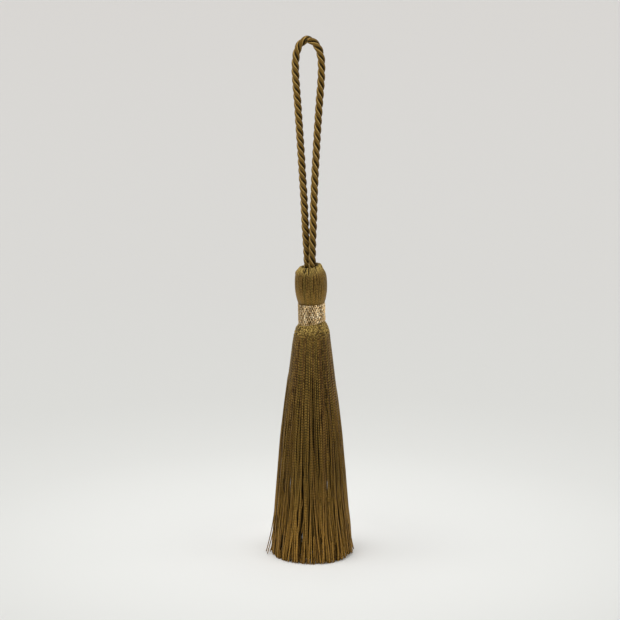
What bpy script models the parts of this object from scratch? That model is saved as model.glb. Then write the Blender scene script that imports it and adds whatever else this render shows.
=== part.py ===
"""A silk tassel: a bundle of yarn with its tied head, a metallic band round the neck,
and a hanging loop of three-ply twisted cord. It stands on the cut ends of its skirt."""

from collections import namedtuple
import math
import random

import bmesh
import bpy
from mathutils import Matrix, Vector
from mathutils.geometry import delaunay_2d_cdt

MM = 0.001
TURN = 2 * math.pi

Section = namedtuple("Section", "height radius")
StrandRing = namedtuple("StrandRing", "count share steps")
RoutePoint = namedtuple("RoutePoint", "x y z")

# Heights above the surface it stands on, and radii, in millimetres
ROOT_HEIGHT = 106.0
NECK_RADIUS = 5.6
LEAN = math.radians(1.4)
LEAN_STARTS_ABOVE_ROOTS = 6.0
ROUND_SIDES = 48
SHARP_ANGLE = math.radians(50)

# The tied bundle from the dimple's floor, over the crest, down to the edge of the shoulder
BACKING = [
    Section(136.6, 3.6),
    Section(137.9, 3.7),
    Section(138.8, 4.0),
    Section(139.0, 4.45),
    Section(138.5, 5.05),
    Section(137.5, 5.75),
    Section(136.2, 6.4),
    Section(134.6, 6.95),
    Section(132.5, 7.25),
    Section(130.0, 7.4),
    Section(127.2, 7.35),
    Section(124.9, 7.05),
    Section(122.9, 6.65),
    Section(121.3, 6.25),
    Section(120.6, NECK_RADIUS),
    Section(110.9, NECK_RADIUS),
    Section(110.6, 6.3),
    Section(109.6, 7.1),
    Section(108.0, 7.8),
    Section(ROOT_HEIGHT, 8.3),
]

# The outer radius of the skirt, from the roots down to the cut ends
SKIRT = [
    Section(ROOT_HEIGHT, 8.1),
    Section(100.2, 9.2),
    Section(85.8, 10.9),
    Section(71.3, 12.8),
    Section(56.8, 14.4),
    Section(42.2, 15.6),
    Section(27.5, 16.9),
    Section(12.8, 18.0),
    Section(0.0, 18.9),
]

# The skirt's strands stand in rings. share is a ring's part of the skirt's outer radius,
# and steps is the number of lengths that each of its strands is made of
STRAND_RINGS = [
    StrandRing(72, 1.0, 6),
    StrandRing(62, 0.85, 5),
    StrandRing(50, 0.69, 3),
    StrandRing(36, 0.53, 3),
    StrandRing(22, 0.37, 3),
    StrandRing(10, 0.2, 3),
]
LEVEL_CROWDING = 1.25
STRAND_SIDES_SHARE = 0.72
ROOT_DEPTH = 0.7
TIP_DEPTH = 1.6
SWAY_SHARE = 0.1
SHORT_STRANDS = 0.3
SHORTEST_BY = (0.3, 0.9)
CENTRE_ROOT_RADIUS = 0.5
CENTRE_TIP_RADIUS = 1.6
CENTRE_SIDES = 4
SEED = 7
ROOT_MERGE = 1e-6

# The woven sleeve round the neck
BAND_LOW = 111.2
BAND_HIGH = 120.3
BAND_INNER = 5.9
BAND_OUTER = 6.35
BAND_ROWS = 9
BAND_RELIEF = 0.12

# The hanging loop's cord, and its route from the left end over the top to the right end
CORD_RADIUS = 1.55
CORD_GROOVE = 0.42
CORD_PLIES = 3
CORD_PITCH = 13.4
SIDES_PER_PLY = 3
RINGS_PER_TURN = 12
CURVE_STEPS = 12
LOOP_ROUTE = [
    RoutePoint(-1.75, 1.35, 136.9),
    RoutePoint(-1.9, 1.4, 143.0),
    RoutePoint(-2.35, 1.3, 150.0),
    RoutePoint(-2.85, 1.0, 158.7),
    RoutePoint(-3.4, 0.6, 170.0),
    RoutePoint(-4.1, 0.25, 181.3),
    RoutePoint(-4.8, 0.0, 192.6),
    RoutePoint(-5.55, 0.0, 203.8),
    RoutePoint(-6.3, 0.0, 214.9),
    RoutePoint(-6.9, 0.0, 222.4),
    RoutePoint(-7.3, 0.0, 229.0),
    RoutePoint(-7.25, 0.0, 233.5),
    RoutePoint(-6.8, 0.0, 237.3),
    RoutePoint(-5.85, 0.0, 240.5),
    RoutePoint(-4.15, 0.0, 242.7),
    RoutePoint(-1.9, 0.0, 243.9),
    RoutePoint(0.55, 0.0, 243.1),
    RoutePoint(2.6, 0.0, 241.0),
    RoutePoint(3.95, 0.0, 238.0),
    RoutePoint(4.6, 0.0, 234.2),
    RoutePoint(4.7, 0.0, 229.0),
    RoutePoint(4.35, 0.0, 222.4),
    RoutePoint(3.75, 0.0, 214.9),
    RoutePoint(3.0, 0.0, 203.8),
    RoutePoint(2.35, 0.0, 192.6),
    RoutePoint(1.75, -0.25, 181.3),
    RoutePoint(1.3, -0.6, 170.0),
    RoutePoint(0.95, -1.0, 158.7),
    RoutePoint(0.6, -1.3, 150.0),
    RoutePoint(0.45, -1.4, 143.0),
    RoutePoint(0.4, -1.35, 136.9),
]

YARN_COLOUR = (0.126, 0.073, 0.018)
BAND_COLOUR = (0.42, 0.27, 0.12)
CORD_COLOUR = (0.134, 0.084, 0.027)


def clear_scene():
    for obj in list(bpy.data.objects):
        bpy.data.objects.remove(obj)


def material(name, colour, roughness, metallic):
    made = bpy.data.materials.new(name)
    made.use_nodes = True
    shader = made.node_tree.nodes["Principled BSDF"]
    shader.inputs["Base Color"].default_value = (*colour, 1.0)
    shader.inputs["Roughness"].default_value = roughness
    shader.inputs["Metallic"].default_value = metallic
    return made


def finish_object(name, bm, made_of):
    """Writes the millimetre mesh as an object in metres."""
    bmesh.ops.triangulate(bm, faces=bm.faces)
    bmesh.ops.scale(bm, vec=(MM, MM, MM), verts=bm.verts)
    mesh = bpy.data.meshes.new(name)
    bm.to_mesh(mesh)
    bm.free()
    mesh.materials.append(made_of)
    mesh.shade_smooth()
    mesh.set_sharp_from_angle(angle=SHARP_ANGLE)
    obj = bpy.data.objects.new(name, mesh)
    bpy.context.scene.collection.objects.link(obj)
    return obj


def radius_at(profile, height):
    """The profile's radius at a height, read between its two nearest sections."""
    for upper, lower in zip(profile, profile[1:]):
        if height >= lower.height:
            part = (height - lower.height) / (upper.height - lower.height)
            return lower.radius + part * (upper.radius - lower.radius)
    return profile[-1].radius


def ring_points(radius, height, sides):
    angles = [TURN * i / sides for i in range(sides)]
    return [Vector((radius * math.cos(angle), radius * math.sin(angle), height)) for angle in angles]


def bridge(bm, first, second):
    """Faces between two rings of as many points. The first ring is the upper one."""
    count = len(first)
    for i in range(count):
        after = (i + 1) % count
        bm.faces.new((first[i], second[i], second[after], first[after]))


def lean_matrix(height, share):
    """The head's lean to the left, or a share of it, for what stands at or above a height."""
    pivot = Vector((0.0, 0.0, height + LEAN_STARTS_ABOVE_ROOTS))
    tilt = Matrix.Rotation(-LEAN * share, 4, "Y")
    return Matrix.Translation(pivot) @ tilt @ Matrix.Translation(-pivot)


def strand_levels(steps):
    """Parts of the way from root to tip, closer together near the root."""
    return [(i / steps) ** LEVEL_CROWDING for i in range(steps + 1)]


def strand(ring, angle, sway, tip_height):
    """The corner points of one three-sided strand, level by level, with its ridge outwards."""
    levels = []
    pitch = TURN / ring.count
    for part in strand_levels(ring.steps):
        height = ROOT_HEIGHT + part * (tip_height - ROOT_HEIGHT)
        depth = ROOT_DEPTH + part * (TIP_DEPTH - ROOT_DEPTH)
        ridge = radius_at(SKIRT, height) * ring.share
        half_width = STRAND_SIDES_SHARE * pitch * (ridge - depth) / 2
        turned = angle + sway * pitch * math.sin(math.pi * part)
        outward = Vector((math.cos(turned), math.sin(turned), 0.0))
        across = Vector((-outward.y, outward.x, 0.0)) * half_width
        outer = outward * ridge + Vector((0.0, 0.0, height))
        inner = outer - outward * depth
        levels.append([outer, inner + across, inner - across])
    return levels


def centre_strand():
    """The four-sided strand on the axis, whose cut end is the middle of the resting plane."""
    steps = STRAND_RINGS[-1].steps
    levels = []
    for part in strand_levels(steps):
        radius = CENTRE_ROOT_RADIUS + part * (CENTRE_TIP_RADIUS - CENTRE_ROOT_RADIUS)
        levels.append(ring_points(radius, ROOT_HEIGHT * (1 - part), CENTRE_SIDES))
    return levels


def all_strands():
    chance = random.Random(SEED)
    made = []
    for number, ring in enumerate(STRAND_RINGS):
        for i in range(ring.count):
            angle = TURN * (i + 0.5 * (number % 2)) / ring.count
            sway = SWAY_SHARE * chance.uniform(-1, 1)
            short = chance.random() < SHORT_STRANDS
            tip_height = chance.uniform(*SHORTEST_BY) if short else 0.0
            made.append(strand(ring, angle, sway, tip_height))
    made.append(centre_strand())
    return made


def fill_underside(bm, rim, roots):
    """Faces over the shoulder's underside, open where each strand grows from it."""
    outlines = [rim] + roots
    corners = [corner for outline in outlines for corner in outline]
    loops = []
    for outline in outlines:
        start = sum(len(loop) for loop in loops)
        loops.append(list(range(start, start + len(outline))))
    flat = [Vector((corner.co.x, corner.co.y)) for corner in corners]
    inside_only = 1
    result = delaunay_2d_cdt(flat, [], loops, inside_only, ROOT_MERGE)
    triangles, sources, covered_by = result[2], result[3], result[5]
    for triangle, cover in zip(triangles, covered_by):
        if cover == [0]:
            points = [corners[sources[index][0]] for index in triangle]
            bm.faces.new(reversed(points))


def tied_backing(bm):
    """Head, neck and shoulder, open underneath. Gives the rim of that opening."""
    rings = []
    for section in BACKING:
        points = ring_points(section.radius, section.height, ROUND_SIDES)
        rings.append([bm.verts.new(point) for point in points])
    floor_centre = bm.verts.new((0.0, 0.0, BACKING[0].height))
    for i in range(ROUND_SIDES):
        bm.faces.new((floor_centre, rings[0][i], rings[0][(i + 1) % ROUND_SIDES]))
    for upper, lower in zip(rings, rings[1:]):
        bridge(bm, upper, lower)
    return rings[-1]


def grow_strand(bm, root, levels):
    """The strand below its root, leaning less and less with the head, down to its level cut end."""
    above = root
    for number, points in enumerate(levels[1:], start=1):
        left = 1 - number / (len(levels) - 1)
        fading_lean = lean_matrix(points[0].z, left * left)
        below = [bm.verts.new(fading_lean @ point) for point in points]
        bridge(bm, above, below)
        above = below
    bm.faces.new(reversed(above))


def yarn_bundle(made_of):
    """The tied backing, with the skirt's strands grown from its underside, as one body."""
    bm = bmesh.new()
    rim = tied_backing(bm)
    strands = all_strands()
    roots = [[bm.verts.new(point) for point in levels[0]] for levels in strands]
    fill_underside(bm, rim, roots)
    lean = lean_matrix(ROOT_HEIGHT, 1.0)
    for vert in bm.verts:
        vert.co = lean @ vert.co
    for root, levels in zip(roots, strands):
        grow_strand(bm, root, levels)
    return finish_object("yarn_bundle", bm, made_of)


def neck_band(made_of):
    """A sleeve whose outer face is raised in points, as its slanting threads are."""
    bm = bmesh.new()
    rows = []
    for row in range(BAND_ROWS):
        height = BAND_LOW + (BAND_HIGH - BAND_LOW) * row / (BAND_ROWS - 1)
        at_edge = row in (0, BAND_ROWS - 1)
        flat = ring_points(BAND_OUTER, height, ROUND_SIDES)
        raised = flat if at_edge else ring_points(BAND_OUTER + BAND_RELIEF, height, ROUND_SIDES)
        rows.append([(raised if (i + row) % 2 == 0 else flat)[i] for i in range(ROUND_SIDES)])
    inner = [ring_points(BAND_INNER, height, ROUND_SIDES) for height in (BAND_LOW, BAND_HIGH)]
    rings = [inner[1]] + rows[::-1] + [inner[0]]
    lean = lean_matrix(ROOT_HEIGHT, 1.0)
    made = [[bm.verts.new(lean @ point) for point in ring] for ring in rings]
    for upper, lower in zip(made, made[1:] + made[:1]):
        bridge(bm, upper, lower)
    return finish_object("neck_band", bm, made_of)


def smooth_route(route):
    """Points along a curve through the route's own points, and the length up to each of them."""
    points = [Vector(point) for point in route]
    before = points[0] * 2 - points[1]
    after = points[-1] * 2 - points[-2]
    padded = [before, *points, after]
    curve = []
    for a, b, c, d in zip(padded, padded[1:], padded[2:], padded[3:]):
        for step in range(CURVE_STEPS):
            t = step / CURVE_STEPS
            slope_b = (c - a) / 2
            slope_c = (d - b) / 2
            curve.append(
                b * (2 * t**3 - 3 * t**2 + 1)
                + slope_b * (t**3 - 2 * t**2 + t)
                + c * (3 * t**2 - 2 * t**3)
                + slope_c * (t**3 - t**2)
            )
    curve.append(points[-1])
    lengths = [0.0]
    for a, b in zip(curve, curve[1:]):
        lengths.append(lengths[-1] + (b - a).length)
    return curve, lengths


def even_points(curve, lengths, count):
    """The curve read again at even steps of its length."""
    found = []
    place = 0
    for i in range(count):
        wanted = lengths[-1] * i / (count - 1)
        while place < len(curve) - 2 and lengths[place + 1] < wanted:
            place += 1
        part = (wanted - lengths[place]) / (lengths[place + 1] - lengths[place])
        found.append(curve[place].lerp(curve[place + 1], part))
    return found


def hanging_loop(made_of):
    """A tube whose three-lobed section turns as it goes, which raises the cord's twist."""
    curve, lengths = smooth_route(LOOP_ROUTE)
    count = round(lengths[-1] / CORD_PITCH * RINGS_PER_TURN) + 1
    path = even_points(curve, lengths, count)
    sides = CORD_PLIES * SIDES_PER_PLY
    bm = bmesh.new()
    rings = []
    side = Vector((0.0, 1.0, 0.0))
    for number, centre in enumerate(path):
        ahead = path[min(number + 1, count - 1)]
        behind = path[max(number - 1, 0)]
        along = (ahead - behind).normalized()
        side = (side - along * side.dot(along)).normalized()
        other = along.cross(side)
        turned = -TURN * number / RINGS_PER_TURN
        ring = []
        for i in range(sides):
            angle = TURN * i / sides
            valley = i % SIDES_PER_PLY == 0
            radius = CORD_RADIUS - (CORD_GROOVE if valley else 0.0)
            around = side * math.cos(angle + turned) + other * math.sin(angle + turned)
            ring.append(bm.verts.new(centre + around * radius))
        rings.append(ring)
    for first, second in zip(rings, rings[1:]):
        bridge(bm, second, first)
    bm.faces.new(reversed(rings[0]))
    bm.faces.new(rings[-1])
    return finish_object("hanging_loop", bm, made_of)


def main():
    clear_scene()
    yarn_bundle(material("silk_yarn", YARN_COLOUR, roughness=0.45, metallic=0.0))
    neck_band(material("metallic_thread", BAND_COLOUR, roughness=0.35, metallic=0.8))
    hanging_loop(material("twisted_cord", CORD_COLOUR, roughness=0.45, metallic=0.0))


main()
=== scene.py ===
from collections import namedtuple
import math

import bpy
import numpy as np
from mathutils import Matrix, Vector


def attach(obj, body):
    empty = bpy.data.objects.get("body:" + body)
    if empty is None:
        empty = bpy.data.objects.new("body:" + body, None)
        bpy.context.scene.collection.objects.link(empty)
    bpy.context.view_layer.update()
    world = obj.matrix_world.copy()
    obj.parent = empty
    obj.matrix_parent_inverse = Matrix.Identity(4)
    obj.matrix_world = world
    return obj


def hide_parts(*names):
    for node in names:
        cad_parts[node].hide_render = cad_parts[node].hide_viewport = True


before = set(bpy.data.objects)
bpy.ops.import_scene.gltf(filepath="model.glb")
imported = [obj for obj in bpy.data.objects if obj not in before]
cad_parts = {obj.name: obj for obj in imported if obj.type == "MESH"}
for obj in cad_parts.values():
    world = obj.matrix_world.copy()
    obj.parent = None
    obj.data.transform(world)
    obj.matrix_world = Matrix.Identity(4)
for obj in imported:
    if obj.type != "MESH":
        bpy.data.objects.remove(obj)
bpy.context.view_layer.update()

# Sizes are in millimetres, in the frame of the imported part
MM = 0.001
TURN = 2 * math.pi
UV_NAME = "along_yarn"

Section = namedtuple("Section", "height radius")
Layer = namedtuple("Layer", "name count share wander fine tint open")
RoutePoint = namedtuple("RoutePoint", "x y z")
Twist = namedtuple("Twist", "length pitch")
PaintedStreak = namedtuple("PaintedStreak", "across strength")
Sun = namedtuple("Sun", "name direction strength angle colour gloss_only")
Shade = namedtuple("Shade", "away colour")
Stray = namedtuple("Stray", "start end")
Core = namedtuple("Core", "name profile inset opened")

# The camera stands where the photograph's was, in metres, and its lens has the same angle of view
CAMERA_PLACE = (-0.0006, -1.5, 0.444)
CAMERA_PITCH = math.radians(12.3)
CAMERA_LENS_MM = 191.0
SENSOR_MM = 36.0
CAMERA_REACH = 50.0

# A pair of heights says where a change begins and where it is complete

# The lean of the head, and the height where the skirt's locks part
ROOT_HEIGHT = 106.0
LEAN = math.radians(1.4)
LEAN_STARTS_ABOVE_ROOTS = 6.0
NECK_SHIFT = 0.25
NECK_SHIFT_HEIGHTS = (100.0, 111.0)

# The skirt's outer face, from under the band to the cut ends
SKIRT = [
    Section(112.4, 5.4),
    Section(111.0, 5.9),
    Section(110.2, 6.5),
    Section(109.4, 7.1),
    Section(108.4, 7.65),
    Section(106.8, 8.15),
    Section(104.5, 8.6),
    Section(100.2, 9.2),
    Section(85.8, 10.95),
    Section(71.3, 12.85),
    Section(56.8, 14.5),
    Section(42.2, 15.75),
    Section(27.5, 17.05),
    Section(12.8, 18.2),
    Section(0.0, 19.2),
]
SKIRT_STEPS = 500
SKIRT_ROUNDING = 30
FRONT_FLARE = 3.5
FLARE_TURN = 0.06
FLARE_POWER = 1.6
FLARE_HEIGHTS = (30.0, 0.0)
FOOT_SHIFT = 0.15
LEFT_DRAWN_IN = 0.4
DRAWN_IN_HEIGHTS = (62.0, 10.0)

# Layers of yarn from the outside in. share is a part of the skirt's outer radius, and the last column
# is the painted light left on the layer: the deeper layers are painted darker, as shade
LAYERS = [
    Layer("skirt_yarn_outer", 76, 1.0, 1.3, True, 0.57, 1.0),
    Layer("skirt_yarn_second", 84, 0.96, 1.4, False, 0.5, 0.13),
    Layer("skirt_yarn_third", 84, 0.89, 1.4, False, 0.5, 0.18),
    Layer("skirt_yarn_inner_1", 70, 0.77, 1.2, False, 0.5, 0.45),
    Layer("skirt_yarn_inner_2", 54, 0.6, 1.2, False, 0.5, 0.45),
    Layer("skirt_yarn_inner_3", 34, 0.4, 1.0, False, 0.5, 0.45),
    Layer("skirt_yarn_inner_4", 14, 0.2, 1.0, False, 0.5, 0.45),
]
FINE_LAYER_PARTS = 2
SEED = 11

# The yarns: their thickness, their rings and how much they differ from one another
YARN_SIDES = 6
FINE_SIDES = 4
YARN_RADIUS = 0.4
YARN_VARIES = (0.88, 1.08)
YARN_CROWDING = 0.6
YARN_JITTER = 0.14
YARN_TINTS = 0.3
FINE_STEP = 0.3
FINE_DOWN_TO = 36.0
COARSE_STEP = 1.3
PLAIN_STEP = 2.2

# How the yarns part, thin, drift, wave and gather in locks on their way down. What moves them
# aside is in yarns' widths
PARTING = 0.3
PARTING_HEIGHTS = (95.0, 60.0)
THINNING = 0.27
THINNING_HEIGHTS = (80.0, 35.0)
LOOSENING = 2.0
DRIFT = 0.6
WAVES_DOWN = (0.8, 2.2)
WAVE_ASIDE = 0.3
WAVE_GROWTH = 1.5
CLUSTERS = (13, 19, 31)
CLUSTER_PULL = 5.5
CLUSTER_GROWTH = 1.4

# How deep they lie, in millimetres, how much painted shade darkens a sunken yarn, and how painted shade
# falls on each yarn's sides
YARN_DEPTHS = (-0.25, 0.85)
WAVE_DEPTH = 0.18
WAVE_DEPTH_RATE = 2.3
INNERMOST = 0.4
SUNK_PAINTED_SHADE = 0.45
SUNK_PAINTED_SHADE_MOST = 0.3
FACING_GAIN = 2.1
FACING_CUT = 0.95

# The small crimps of the gathered shoulder under the band
CRIMP_LENGTHS = (1.3, 2.0)
CRIMP_STARTS = (102.0, 107.0)
CRIMP_ENDS = (111.5, 109.0)
CRIMP_ASIDE = 0.5
CRIMP_DEPTH = 0.16
SHOULDER_RISE = 0.7
SHOULDER_RISE_HEIGHTS = (105.0, 110.5)

# The chain stitches of the outer yarns
STITCH_LENGTH = 1.24
STITCH_RELIEF = 0.16
STITCH_SLOPE = 0.42
STITCH_HEIGHTS = (10.0, 55.0)
STITCH_JITTER = 0.27
STITCH_DRIFT = 0.3
STITCH_DRIFT_WAVES = (3, 7, 12)
STITCH_STRETCH = 0.015
STITCH_STRETCH_WAVES = 5
STITCH_UNEVEN = 0.0025

# The uneven cut at the foot
CUT_UNEVEN = 1.8
CUT_POWER = 1.8
RIGHT_SHORT = 1.3
RIGHT_SIDE = (0.5, 0.95)
INNER_SHORT_SLOPE = 8.0
INNER_SHORT_MOST = 1.2

# Loose yarns, filaments, strays and frayed ends. A pair is the least and the most
LOOSE_YARNS = 40
LOOSE_RINGS = 50
LOOSE_TOPS = (45, 85)
LOOSE_TURNS = (-0.3, 0.3)
LOOSE_LIFTS = (0.1, 0.45)
LOOSE_ROOT_DEPTH = 0.6
LOOSE_THICKNESS = 0.3
LOOSE_RADII = (0.2, 0.34)
FILAMENTS = 280
FILAMENT_RINGS = 24
FILAMENT_TOPS = (28, 96)
FILAMENT_RUNS = (0.45, 1.0)
FILAMENT_DRIFT = 0.1
FILAMENT_WAVES = (0.6, 2.2)
FILAMENT_SWAY = 0.018
FILAMENT_LIFTS = (-0.1, 0.12)
FILAMENT_ROOT_DEPTH = 0.7
FILAMENT_END_DEPTH = 0.5
FILAMENT_ENDS_FREE = 0.9
FILAMENT_ABOVE_FLOOR = 0.1
FILAMENT_RADII = (0.1, 0.17)
FRAYED_ENDS = 560
FRAYED_RINGS = 5
FRAYED_DRIFT = 0.03
FRAYED_LENGTHS = (3.0, 14.0)
FRAYED_UNEVEN = 0.9
FRAYED_DEPTHS = (0.2, 2.8)
FRAYED_SPREAD = 0.4
FRAYED_RADII = (0.12, 0.24)
STRAY_RINGS = 26
STRAY_RADIUS = 0.25
STRAY_BOW = (0.5, -0.3, 0.0)
STRAY_YARNS = [
    Stray((-16.9, -2.0, 24.0), (-21.3, -2.5, 0.6)),
    Stray((-16.7, -4.0, 21.0), (-20.7, -5.5, 0.3)),
    Stray((-17.6, -1.0, 12.0), (-19.5, -1.5, 0.2)),
    Stray((16.4, -5.0, 26.0), (20.0, -6.0, 2.8)),
    Stray((17.4, 1.0, 17.0), (20.0, 1.5, 0.5)),
]

# The head's outer face, from inside the dimple, over the crest and down to the tie
HEAD = [
    Section(136.6, 3.2),
    Section(137.9, 3.4),
    Section(138.8, 3.8),
    Section(139.1, 4.4),
    Section(138.6, 5.05),
    Section(137.5, 5.75),
    Section(136.2, 6.4),
    Section(134.6, 6.95),
    Section(132.5, 7.3),
    Section(130.0, 7.42),
    Section(127.2, 7.38),
    Section(124.9, 7.1),
    Section(122.9, 6.7),
    Section(121.4, 6.3),
    Section(120.4, 5.9),
    Section(119.6, 5.6),
]
HEAD_YARNS = 84
HEAD_RINGS = 110
HEAD_CROWDING = 0.72
HEAD_WANDER = 0.3
HEAD_WAVES = 1.3
HEAD_JITTER = 0.3
HEAD_LIFT = 0.03
HEAD_SUNK = 0.6
HEAD_STITCH_RELIEF = 0.06
HEAD_TINT = 0.46
HEAD_TINTS = 0.05
CORNER_CUTS = 4
CREST_PART = 0.3
CREST_TOSS = 1.2
CREST_LIFT = 0.12
CREST_RISE = 1.2
CREST_HEIGHTS = (132.5, 137.5)
CREST_SLOPE = 0.105
CREST_HIGH_SIDE = 6.5
CREST_BACK_DROP = 0.12
CREST_FRONT_DROP = 0.22
LEFT_BULGE = 0.8
RIGHT_DRAWN_IN = 0.35
BULGE_HEIGHT = 136.7
BULGE_SPREAD = 1.6

# Plain cores that close the yarns and threads from behind, painted dark with shade
CORE_SIDES = 64
HEAD_CORE = Core("head_core", HEAD[8:], 0.5, 0.3)
NECK_CORE = Core(
    "neck_core",
    [Section(120.8, 5.7), Section(111.0, 5.7), Section(109.0, 6.4), Section(104.0, 7.2)],
    0.2,
    0.5,
)
BAND_GROUND = Core("band_ground", [Section(120.1, 5.95), Section(112.0, 5.95)], 0.0, 0.25)

# The braided band round the neck. Its edges slant a little, down to the left
BAND_LOW = 111.1
BAND_HIGH = 120.3
BAND_LOW_SLANT = 1.0
BAND_HIGH_SLANT = 0.15
BAND_RADIUS = 6.16
BAND_THREADS = 38
BAND_TURN = 0.76
BAND_WEAVE_DEPTH = 0.08
# Columns of painted highlight round the band, where the side lamps glint, and a few of painted shade
PAINTED_STREAK_WIDTH = 0.11
BAND_PAINTED_STREAKS = [
    PaintedStreak(-0.5, 1.0),
    PaintedStreak(-0.12, -0.25),
    PaintedStreak(0.42, 1.0),
    PaintedStreak(0.7, -0.15),
    PaintedStreak(0.92, 0.7),
]
THREAD_WIDTH = 0.5
THREAD_THICKNESS = 0.2
THREAD_RINGS = 56
THREAD_SIDES = 8
THREAD_JITTER = 0.12
THREAD_LIFT = 0.03
THREAD_TILT = 0.5
WEAVE_SHARPNESS = 1.8
WRAP_LENGTH = 0.35

# The hanging loop's cord. Its route goes through the same points as the solid's
CORD_TWIST = [
    Twist(94.9, 11.56),
    Twist(33.5, 12.55),
    Twist(91.2, 12.35),
]
TWIST_START = -0.5
CORD_PLIES = 3
PLY_RADIUS = 0.92
PLY_FROM_MIDDLE = 0.9
PLY_SIDES = 24
PLY_YARNS = 8
PLY_RELIEF = 0.06
PLY_SWAY = 0.06
PLY_SWAY_LENGTH = 31.0
PLY_TINTS = (0.42, 0.5, 0.58)
# Painted shade in the grooves between the plies, and where round each ply its painted highlight lies
GROOVE_SHADE_REACH = 1.82
GROOVE_SHADE_DEPTHS = (1.05, 1.6)
PAINTED_HIGHLIGHT_AT = 0.83
CORD_RINGS = 740
CURVE_STEPS = 12
LOOP_ROUTE = [
    RoutePoint(-1.75, 1.35, 136.9),
    RoutePoint(-1.9, 1.4, 143.0),
    RoutePoint(-2.35, 1.3, 150.0),
    RoutePoint(-2.85, 1.0, 158.7),
    RoutePoint(-3.4, 0.6, 170.0),
    RoutePoint(-4.1, 0.25, 181.3),
    RoutePoint(-4.8, 0.0, 192.6),
    RoutePoint(-5.55, 0.0, 203.8),
    RoutePoint(-6.3, 0.0, 214.9),
    RoutePoint(-6.9, 0.0, 222.4),
    RoutePoint(-7.3, 0.0, 229.0),
    RoutePoint(-7.25, 0.0, 233.5),
    RoutePoint(-6.8, 0.0, 237.3),
    RoutePoint(-5.85, 0.0, 240.5),
    RoutePoint(-4.15, 0.0, 242.7),
    RoutePoint(-1.9, 0.0, 243.9),
    RoutePoint(0.55, 0.0, 243.1),
    RoutePoint(2.6, 0.0, 241.0),
    RoutePoint(3.95, 0.0, 238.0),
    RoutePoint(4.6, 0.0, 234.2),
    RoutePoint(4.7, 0.0, 229.0),
    RoutePoint(4.35, 0.0, 222.4),
    RoutePoint(3.75, 0.0, 214.9),
    RoutePoint(3.0, 0.0, 203.8),
    RoutePoint(2.35, 0.0, 192.6),
    RoutePoint(1.75, -0.25, 181.3),
    RoutePoint(1.3, -0.6, 170.0),
    RoutePoint(0.95, -1.0, 158.7),
    RoutePoint(0.6, -1.3, 150.0),
    RoutePoint(0.45, -1.4, 143.0),
    RoutePoint(0.4, -1.35, 136.9),
]

# Heights between which the yarn's look changes
FIRM_FROM = (8.0, 55.0)
WALL_FROM = (120.0, 122.0)
# Painted bounce light from below: the head's smooth wall is painted lighter towards its foot
WALL_PAINTED_LIGHT_FROM = (130.0, 122.0)
SHOULDER_FROM = (104.0, 108.5)
SHOULDER_ENDS = (113.0, 111.5)
CONTRAST_FROM = (100.0, 40.0)
LIGHT_FROM = (70.0, 100.0)
SPECKS_FROM = (98.0, 70.0)
STITCHES_FROM = (80.0, 105.0)
GREEN_FROM = (0.0, 60.0)
RED_FROM = (112.0, 95.0)
# Towards the cut ends the yarns are paler, and painted lighter still by light bounced from the floor
TIPS_AND_FLOOR_LIGHT_FROM = (42.0, 0.0)
CORD_FOOT = (141.0, 160.0)

# How far along a head yarn its painted crest highlight ends, and the depth of the materials' bumps
CREST_HIGHLIGHT_ENDS = (9.6, 6.4)
YARN_BUMP = 0.08
FINE_BUMP = 0.06
BUMP_STRENGTH = 0.8

# Colours, linear
YARN_DARK = (0.052, 0.023, 0.004)
YARN_LIGHT = (0.300, 0.170, 0.036)
YARN_OLIVE = (0.130, 0.098, 0.018)
YARN_RED = (0.165, 0.080, 0.027)
# Paler cut ends, with painted light bounced from the floor
YARN_TIPS_AND_FLOOR_LIGHT = (0.430, 0.225, 0.042)
# Painted highlight on the head's crest and the skirt's shoulder
PAINTED_HIGHLIGHT_GOLD = (0.600, 0.420, 0.115)
CORD_DARK = (0.085, 0.042, 0.007)
CORD_LIGHT = (0.275, 0.158, 0.026)
# Painted highlight on each ply
CORD_PAINTED_HIGHLIGHT = (0.580, 0.380, 0.120)
SILK_GLINT = (1.0, 0.72, 0.30)
BAND_DARK = (0.380, 0.235, 0.095)
BAND_LIGHT = (1.000, 0.740, 0.400)
# Painted glints on the metallic threads
BAND_PAINTED_GLINT = (1.000, 0.860, 0.600)

# The floor, in metres, with its painted pool of light round the tassel, and the lights
FLOOR_RADIUS = 12.0
FLOOR_SIDES = 96
PAINTED_LIGHT_CENTRE = (0.0, 0.014, 0.0)
FLOOR_PAINTED_LIGHT = [
    Shade(0.0, (0.930, 0.930, 0.912)),
    Shade(0.030, (0.900, 0.900, 0.882)),
    Shade(0.050, (0.812, 0.814, 0.797)),
    Shade(0.10, (0.795, 0.800, 0.780)),
    Shade(0.18, (0.700, 0.703, 0.683)),
    Shade(0.30, (0.642, 0.643, 0.623)),
    Shade(0.60, (0.640, 0.635, 0.619)),
    Shade(2.40, (0.624, 0.607, 0.590)),
]
SUNS = [
    Sun("left_light", (-0.85, -0.45, 0.75), 0.85, 75.0, (1.0, 0.99, 0.97), False),
    Sun("right_light", (0.85, -0.5, 0.65), 0.65, 75.0, (1.0, 0.99, 0.98), False),
    Sun("top_light", (-0.15, 0.0, 1.0), 1.0, 90.0, (1.0, 1.0, 1.0), False),
    Sun("left_glint", (-0.82, -0.40, 0.62), 1.0, 20.0, (1.0, 0.98, 0.95), True),
    Sun("right_glint", (0.82, -0.45, 0.55), 1.8, 18.0, (1.0, 0.98, 0.95), True),
]
WORLD_HORIZON = (0.68, 0.68, 0.67)
WORLD_ZENITH = (0.42, 0.42, 0.42)


def placed(name, data):
    """An object of this mesh, lamp or camera, linked into the scene."""
    made = bpy.data.objects.new(name, data)
    bpy.context.scene.collection.objects.link(made)
    return made


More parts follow.
